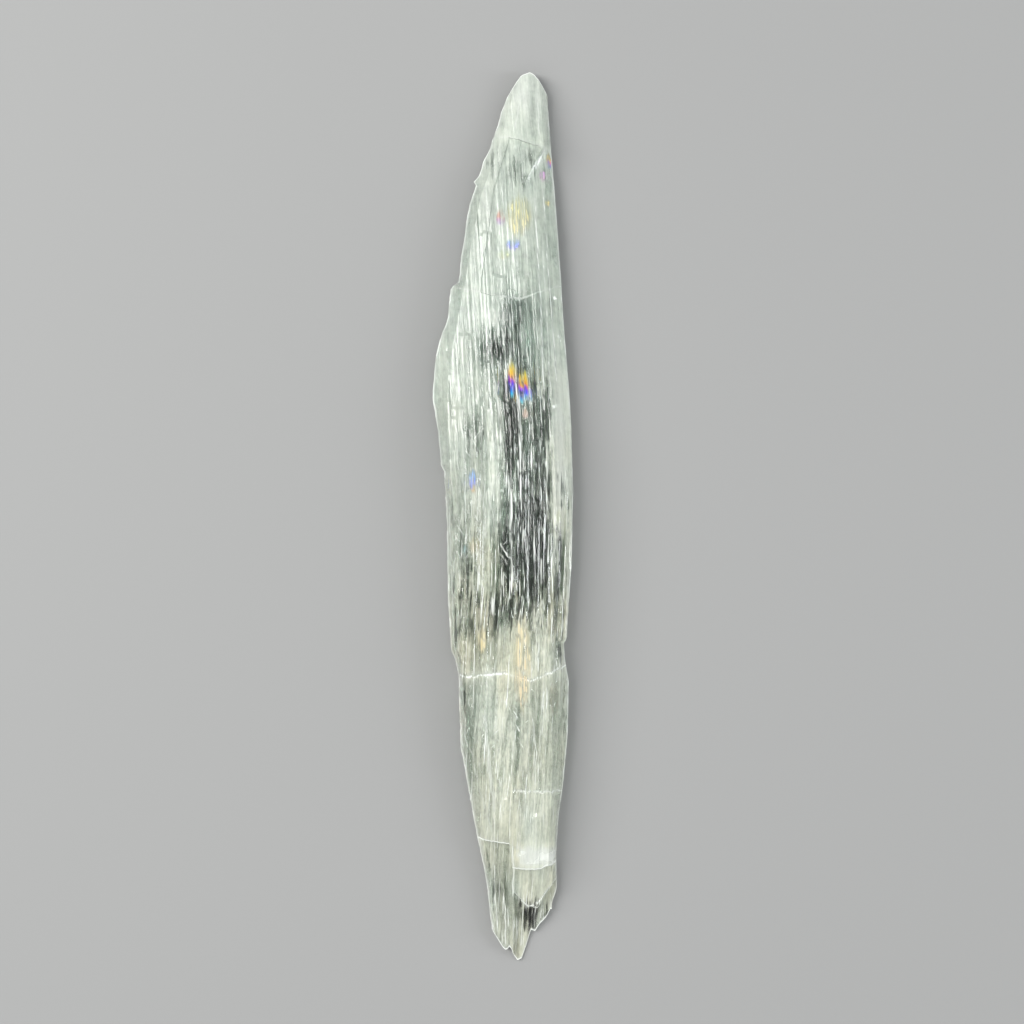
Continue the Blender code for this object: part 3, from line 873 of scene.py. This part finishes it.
def rim_marks(at):
    """White side edges, partly painted highlight, with frosted and chalky places, ends and step
    edges.
    """
    rim = sum(amount * fade(away, reach) for away, (reach, amount)
              in zip((at.from_left, at.from_right), WHITE_AND_GLINT_EDGES)) * varied(WHITE_EDGE_BREAKS, at.y)
    frosted = patches(FROSTED, at.x, at.y) * (1 + layered_noise(FROST_NOISE, at.x, at.y))
    rim = np.maximum(rim, np.maximum(chalk_marks(at), frosted) * (at.side > HALF_WAY))
    rim = np.where(at.wall, WHITE_WALL + layered_noise(WHITE_WALL_NOISE, at.y, at.side), rim)
    ends = fade(at.from_tip, WHITE_TIP_REACH) + fade(at.from_end, WHITE_END_REACH)
    rim = np.maximum(rim, ends * np.where(at.wall, WHITE_END_ON_WALL, WHITE_END))
    return np.maximum(rim, end_step_marks(at))


def line_marks(x, y, points, width):
    """1 on a line through points, falling to 0 away from it."""
    marks = np.zeros(np.shape(x))
    for (x0, y0), (x1, y1) in zip(points, points[1:]):
        run = (x1 - x0, y1 - y0)
        share = ((x - x0) * run[0] + (y - y0) * run[1]) / (run[0] ** 2 + run[1] ** 2)
        share = np.clip(share, 0, 1)
        away = np.hypot(x - x0 - share * run[0], y - y0 - share * run[1])
        marks = np.maximum(marks, fade(away, width))
    return marks


def thread_and_glint_marks(at):
    """The bright threads, partly painted highlights along ridges, the upper two ledges and the
    cross cracks, on the front.
    """
    bent_x = at.x + teeth(THREAD_WANDER, at.y)
    marks = np.zeros(len(at.x))
    for points, width, amount in THREADS_AND_GLINTS:
        marks = np.maximum(marks, amount * line_marks(bent_x, at.y, points, width))
    for curve, width, amount in LEDGE_LINES:
        marks = np.maximum(marks, amount * across_mark(at.x, at.y, curve, width))
    for crack, shows in CRACKS:
        marks = np.maximum(marks, along(shows, at.x) * across_mark(at.x, at.y, crack, CRACK_LINE))
    return marks * at.front


def film_tone(hue, channel, saturation):
    """How bright one colour channel of a film is, for a hue in turns of the colour wheel."""
    tone = FILM_MIDDLE_TONE + FILM_TONE_RANGE * np.cos(2 * math.pi * (hue - channel / 3))
    return FILM_BRIGHTNESS * (1 - saturation + saturation * np.clip(tone, 0, 1))


def film_colours(at):
    """Colour of the thin films at each place, with their amount as the fourth value."""
    colours = np.ones((len(at.x), 4))
    colours[:, 3] = 0
    shift = FILM_SHIFT * (hashed(FILM_SEED, np.floor(at.x / FILM_LATH)) - 0.5)
    ragged = np.clip(FILM_RAGGED + layered_noise(FILM_NOISE, at.x, at.y), 0, 1)
    for middle_x, middle_y, reach_x, reach_y, first, last, saturation, amount in FILMS:
        down = (middle_y - at.y) / reach_y + shift
        away = ((at.x - middle_x) / reach_x) ** 2 + down ** 2
        inside = np.clip(FILM_GAIN * np.exp(-FILM_FALL * away ** 2) - FILM_CUT, 0, 1)
        share = amount * inside * ragged
        hue = first + (last - first) * np.interp(down, FILM_STEPS, FILM_SHARES)
        stronger = share > colours[:, 3]
        for channel in range(3):
            colours[stronger, channel] = film_tone(hue, channel, saturation)[stronger]
        colours[:, 3] = np.maximum(colours[:, 3], share)
    return np.clip(colours, 0, 1)


def add_value(mesh, name, values):
    """Store one number per point of a mesh, for its material."""
    layer = mesh.attributes.new(name, "FLOAT", "POINT")
    layer.data.foreach_set("value", np.asarray(values, dtype=np.float32))


def add_marks(mesh, at):
    """Store where the crystal is milky, streaked, dark, white or coloured, for its material."""
    # The dark share is painted shade
    # The thread and rim shares are white marks, partly painted highlights
    shares = {
        "milk": milk_marks(at), "dark": painted_shade_marks(at), "thread_and_glint": thread_and_glint_marks(at),
        "feathered": patches(FEATHERED, at.x, at.y) * at.front, "rim": rim_marks(at),
        "warm": along(WARM_SHARE, at.y) * (1 + layered_noise(WARM_NOISE, at.x, at.y)),
    }
    for name, values in shares.items():
        add_value(mesh, name, np.clip(values, 0, 1))
    add_value(mesh, "streaked", np.clip(streaked_marks(at), 0, MOST_STREAKED))
    add_value(mesh, "fibre", fibre_marks(at))
    add_value(mesh, "side", at.side)
    layer = mesh.attributes.new("film", "FLOAT_COLOR", "POINT")
    layer.data.foreach_set("color", film_colours(at).astype(np.float32).ravel())


class Maker:
    """Adds nodes to a material or a world. A value is a number, a colour or a node's output."""

    def __init__(self, owner):
        owner.use_nodes = True
        self.nodes = owner.node_tree.nodes
        self.links = owner.node_tree.links

    def feed(self, node, values):
        """Link outputs to a node's inputs or set constant values, by the inputs' names."""
        for name, value in values.items():
            if isinstance(value, bpy.types.NodeSocket):
                self.links.new(value, node.inputs[name])
            else:
                node.inputs[name].default_value = value
        return node

    def node(self, kind, values):
        """A new node with its inputs."""
        return self.feed(self.nodes.new("ShaderNode" + kind), values)

    def attribute(self, name, output="Fac"):
        """A value that is stored at the points of the mesh."""
        node = self.node("Attribute", {})
        node.attribute_name = name
        return node.outputs[output]

    def math(self, kind, first, second):
        """One arithmetic step."""
        node = self.node("Math", {0: first, 1: second})
        node.operation = kind
        return node.outputs["Value"]

    def product(self, *values):
        """All the values multiplied."""
        return reduce(partial(self.math, "MULTIPLY"), values)

    def largest(self, *values):
        """The largest of the values."""
        return reduce(partial(self.math, "MAXIMUM"), values)

    def weighted(self, marks, weights):
        """The sum of named marks times their weights."""
        parts = [self.math("MULTIPLY", marks[name], weight) for name, weight in weights.items()]
        return reduce(partial(self.math, "ADD"), parts)

    def ramp(self, value, limits):
        """A value from one range to another, from limits of (low, high, at low, at high)."""
        range_inputs = dict(zip(("From Min", "From Max", "To Min", "To Max"), limits))
        return self.node("MapRange", {"Value": value, **range_inputs}).outputs["Result"]

    def mix(self, share, first, second):
        """The first colour, with a share of the second."""
        node = self.nodes.new("ShaderNodeMix")
        node.data_type = "RGBA"
        self.feed(node, dict(zip(MIX_INPUTS, (share, first, second))))
        return node.outputs[MIX_OUTPUT]


def fibre_place(make):
    """The place in mm along the fibres: across them, along them, and from back to front."""
    where = make.node("TexCoord", {})
    parts = make.node("SeparateXYZ", {"Vector": where.outputs["Object"]})
    place = make.node("CombineXYZ", {
        "X": make.attribute("fibre"),
        "Y": make.product(parts.outputs["Y"], 1 / MM),
        "Z": make.product(make.attribute("side"), SIDE_APART),
    })
    return place.outputs["Vector"]


def stretched(make, place, across, lengthwise, seed):
    """The fibre place with cells of the given sizes, in cells per mm."""
    shift = [seed * share for share in SEED_SHIFT]
    scale = (across, lengthwise, SIDE_SCALE)
    stretch = make.node("Mapping", {"Vector": place, "Location": shift, "Scale": scale})
    return stretch.outputs["Vector"]


def fibre_noise(make, place, across, lengthwise, detail, seed):
    """Noise drawn out along the fibres, from -1 to 1."""
    noise = make.node("TexNoise", {
        "Vector": stretched(make, place, across, lengthwise, seed),
        "Scale": 1.0, "Detail": detail, "Roughness": NOISE_ROUGHNESS,
    })
    return make.ramp(noise.outputs["Fac"], NOISE_RAMP)


def fibre_cells(make, place, across, lengthwise, seed):
    """Long narrow cells along the fibres: a value from -1 to 1 in each, and their ridges."""
    cell_place = stretched(make, place, across, lengthwise, seed)
    cells = make.node("TexVoronoi", {"Vector": cell_place, "Scale": 1.0})
    parts = make.node("SeparateColor", {"Color": cells.outputs["Color"]})
    return make.ramp(parts.outputs["Red"], CELL_RAMP), cells.outputs["Distance"]


def feather_strokes(make, place, turn, seed):
    """Short fine strokes at a slant to the fibres, 0 to 1."""
    turned = make.node("Mapping", {"Vector": place, "Rotation": (0.0, 0.0, turn)})
    strokes = fibre_noise(make, turned.outputs["Vector"], *FEATHER_CELLS, seed)
    return make.ramp(strokes, FEATHER_RAMP)


def surface_marks(make):
    """The stored marks, and the noises and cells that break them up, by name."""
    place = fibre_place(make)
    marks = {name: make.attribute(name) for name in STORED_MARKS}
    for name, settings in FIBRE_NOISES.items():
        marks[name] = fibre_noise(make, place, *settings)
    marks["lath"], marks["ridge"] = fibre_cells(make, place, *LATH_CELLS)
    marks["flake"], _ = fibre_cells(make, place, *FLAKE_CELLS)
    strokes = [feather_strokes(make, place, turn, seed) for turn, seed in FEATHERS]
    marks["feathers"] = make.product(make.largest(*strokes), marks["feathered"])
    return marks


def painted_shade_share(make, marks):
    """Share of the painted shade, dark for the surroundings seen through the clear crystal, broken
    up along the fibres.
    """
    shade = make.ramp(make.weighted(marks, SHADE_WEIGHTS), SHADE_RAMP)
    return make.product(shade, make.ramp(marks["dark"], SHADE_BY_DARK),
                        make.ramp(marks["side"], SHADE_BY_SIDE))


def milk_share(make, marks, shade):
    """Share of the milky part."""
    marks["streaks"] = make.product(make.weighted(marks, STREAK_WEIGHTS), marks["streaked"])
    milky = make.ramp(make.weighted(marks, MILK_WEIGHTS), MILK_RAMP)
    return make.product(milky, make.ramp(marks["side"], MILK_BY_SIDE), make.ramp(shade, INVERSE))


def white_and_glint_share(make, marks):
    """Share of the white fibres, strokes, threads and edges, partly painted glints and highlights
    on ridges and edges.
    """
    marks["sparkle"] = make.product(marks["spark"], marks["streaked"])
    fibres = make.ramp(make.weighted(marks, WHITE_AND_GLINT_WEIGHTS), WHITE_AND_GLINT_RAMP)
    fibres = make.product(fibres, make.ramp(marks["streaked"], WHITE_AND_GLINT_BY_STREAKED),
                          make.ramp(marks["dark"], WHITE_AND_GLINT_BY_DARK))
    breaks = make.ramp(make.math("ADD", marks["spark"], marks["gaps"]), THREAD_BREAKS)
    threads = make.product(breaks, marks["thread_and_glint"])
    return make.largest(fibres, marks["feathers"], threads, marks["rim"])


def film_share(make, marks):
    """Share of the thin films, broken by the fibres."""
    breaks = make.ramp(make.weighted(marks, FILM_WEIGHTS), FILM_BREAKS)
    return make.product(make.attribute("film", "Alpha"), breaks)


def surface_colour(make, warm, shade, milky, white_and_glint, film):
    """The colour of the surface, from the shares of its marks."""
    clear = make.mix(warm, CLEAR_COLOUR, WARM_CLEAR_COLOUR)
    milk = make.mix(warm, MILK_COLOUR, WARM_MILK_COLOUR)
    # Painted shade: the clear colour turns near black by the shade share
    colour = make.mix(shade, clear, PAINTED_SHADE_COLOUR)
    colour = make.mix(milky, colour, milk)
    # White fibres and edges, partly painted glints and highlights on ridges and edges
    colour = make.mix(white_and_glint, colour, WHITE_AND_GLINT_COLOUR)
    return make.mix(film, colour, make.attribute("film", "Color"))


def fibre_bump(make, marks):
    """Surface direction with fine fibres in relief."""
    height = make.weighted(marks, RELIEF_WEIGHTS)
    return make.node("Bump", {"Height": height, **RELIEF_SETTINGS}).outputs["Normal"]


def crystal_material():
    """Clear crystal with milky, white, dark and coloured marks along its fibres."""
    material = bpy.data.materials.new("hydroboracite")
    make = Maker(material)
    marks = surface_marks(make)
    shade = painted_shade_share(make, marks)
    milky = milk_share(make, marks, shade)
    white_and_glint = white_and_glint_share(make, marks)
    film = film_share(make, marks)
    white = make.largest(milky, white_and_glint, film)
    make.feed(make.nodes["Principled BSDF"], {
        "Base Color": surface_colour(make, marks["warm"], shade, milky, white_and_glint, film),
        "Transmission Weight": make.ramp(white, INVERSE),
        "Roughness": make.ramp(white, ROUGHNESS_RAMP),
        "Normal": fibre_bump(make, marks), **CLEAR_SETTINGS,
    })
    absorb = make.node("VolumeAbsorption", ABSORPTION)
    make.feed(make.nodes["Material Output"], {"Volume": absorb.outputs["Volume"]})
    return material


def add_camera():
    """The camera straight above, with the photo's frame at the height of the outline."""
    camera = bpy.data.cameras.new("camera")
    camera.lens = LENS
    camera.sensor_width = SENSOR
    camera.clip_start, camera.clip_end = CAMERA_RANGE
    place = bpy.data.objects.new("camera", camera)
    bpy.context.scene.collection.objects.link(place)
    frame_width = PHOTO_SIDE / PIXELS_PER_MM
    x = (PHOTO_SIDE / 2 - BOX_MIDDLE_PIXEL[0]) / PIXELS_PER_MM
    y = (BOX_MIDDLE_PIXEL[1] - PHOTO_SIDE / 2) / PIXELS_PER_MM
    height = OUTLINE_HEIGHT + frame_width * LENS / SENSOR
    place.location = (x * MM, y * MM, height * MM)
    bpy.context.scene.camera = place


def add_area(name, location, size, power, colour):
    """A soft rectangular light that points at the crystal."""
    light = bpy.data.lights.new(name, "AREA")
    light.shape = "RECTANGLE"
    light.size, light.size_y = size
    light.energy = power
    light.color = colour
    place = bpy.data.objects.new(name, light)
    bpy.context.scene.collection.objects.link(place)
    place.location = location
    place.rotation_euler = (-Vector(location)).to_track_quat("-Z", "Y").to_euler()


def add_floor():
    """A plain pale floor, a hair under the crystal."""
    corners = ((-1, -1), (1, -1), (1, 1), (-1, 1))
    points = np.array([(x * FLOOR_HALF, y * FLOOR_HALF, -FLOOR_DROP) for x, y in corners])
    material = bpy.data.materials.new("floor")
    make = Maker(material)
    make.feed(make.nodes["Principled BSDF"], FLOOR_SETTINGS)
    floor = mesh_object("floor", points, np.array([(0, 1, 2, 3)]), material)


def add_world():
    """Soft light from a wide band of the sky, dark at the horizon and overhead."""
    world = bpy.data.worlds.new("studio")
    bpy.context.scene.world = world
    make = Maker(world)
    where = make.node("TexCoord", {})
    parts = make.node("SeparateXYZ", {"Vector": where.outputs["Generated"]})
    sky = make.node("ValToRGB", {"Fac": parts.outputs["Z"]})
    sky_look = {"Color": sky.outputs["Color"], "Strength": SKY_STRENGTH}
    make.feed(make.nodes["Background"], sky_look)
    stops = sky.color_ramp.elements
    for number, (position, colour) in enumerate(SKY_STOPS):
        stop = stops[number] if number < len(stops) else stops.new(position)
        stop.position = position
        stop.color = (*colour, 1)


def set_light_paths():
    """Plain colours, and as many bounces as the clear crystal needs."""
    scene = bpy.context.scene
    scene.view_settings.view_transform = "Standard"
    scene.cycles.max_bounces = MOST_BOUNCES
    scene.cycles.diffuse_bounces = DIFFUSE_BOUNCES
    scene.cycles.transmission_bounces = MOST_BOUNCES


outline = Outline()
points, faces, side = crystal_mesh(outline)
crystal = mesh_object("crystal", points, faces, crystal_material())
add_marks(crystal.data, Places(outline, points / MM, side))
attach(crystal, "root")
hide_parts(NODE)
add_floor()
add_world()
for light in LIGHTS:
    add_area(*light)
add_camera()
set_light_paths()
